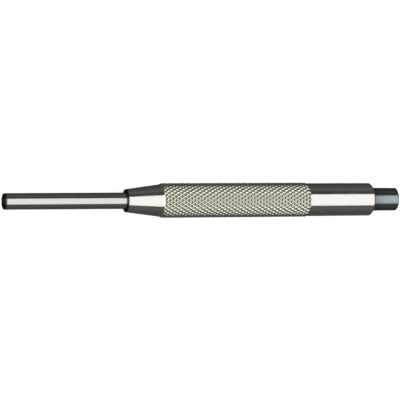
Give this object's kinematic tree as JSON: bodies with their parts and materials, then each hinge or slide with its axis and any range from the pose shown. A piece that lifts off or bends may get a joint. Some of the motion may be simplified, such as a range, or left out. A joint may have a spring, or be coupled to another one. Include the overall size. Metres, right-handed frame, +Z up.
{
  "type": "pin punch with sliding guide sheath",
  "caption": "Slim pin punch: knurled handle, tapered nose, blued striking head, and a sprung guide sheath that slides back to bare the drift pin.",
  "frame": {"origin": "middle of the punch's length, on the plane that its knurled handle rests on", "axes": "+X along the punch towards its striking head, +Z up, +Y across"},
  "size_m": [0.125, 0.0104, 0.0105],
  "materials": {
    "nickel_plate": "bright nickel plate over turned and knurled steel",
    "polished_nickel": "ground and polished nickel plate",
    "hardened_steel": "ground hardened steel",
    "spring_steel": "drawn spring wire",
    "blued_steel": "blued steel, blue-grey with a soft shine"
  },
  "bodies": {
    "handle": {"handle_body": "nickel_plate", "drift_pin": "hardened_steel", "striking_head": "blued_steel", "return_spring": "spring_steel"},
    "sheath": {"guide_sheath": "polished_nickel"}
  },
  "joints": [
    {"name": "sheath_slide", "type": "slide", "parent": "handle", "child": "sheath", "axis": [1, 0, 0], "range_m": [0, 0.03], "stiffness_N_per_m": 205, "springref_m": -0.012, "deforming": ["return_spring"]}
  ]
}
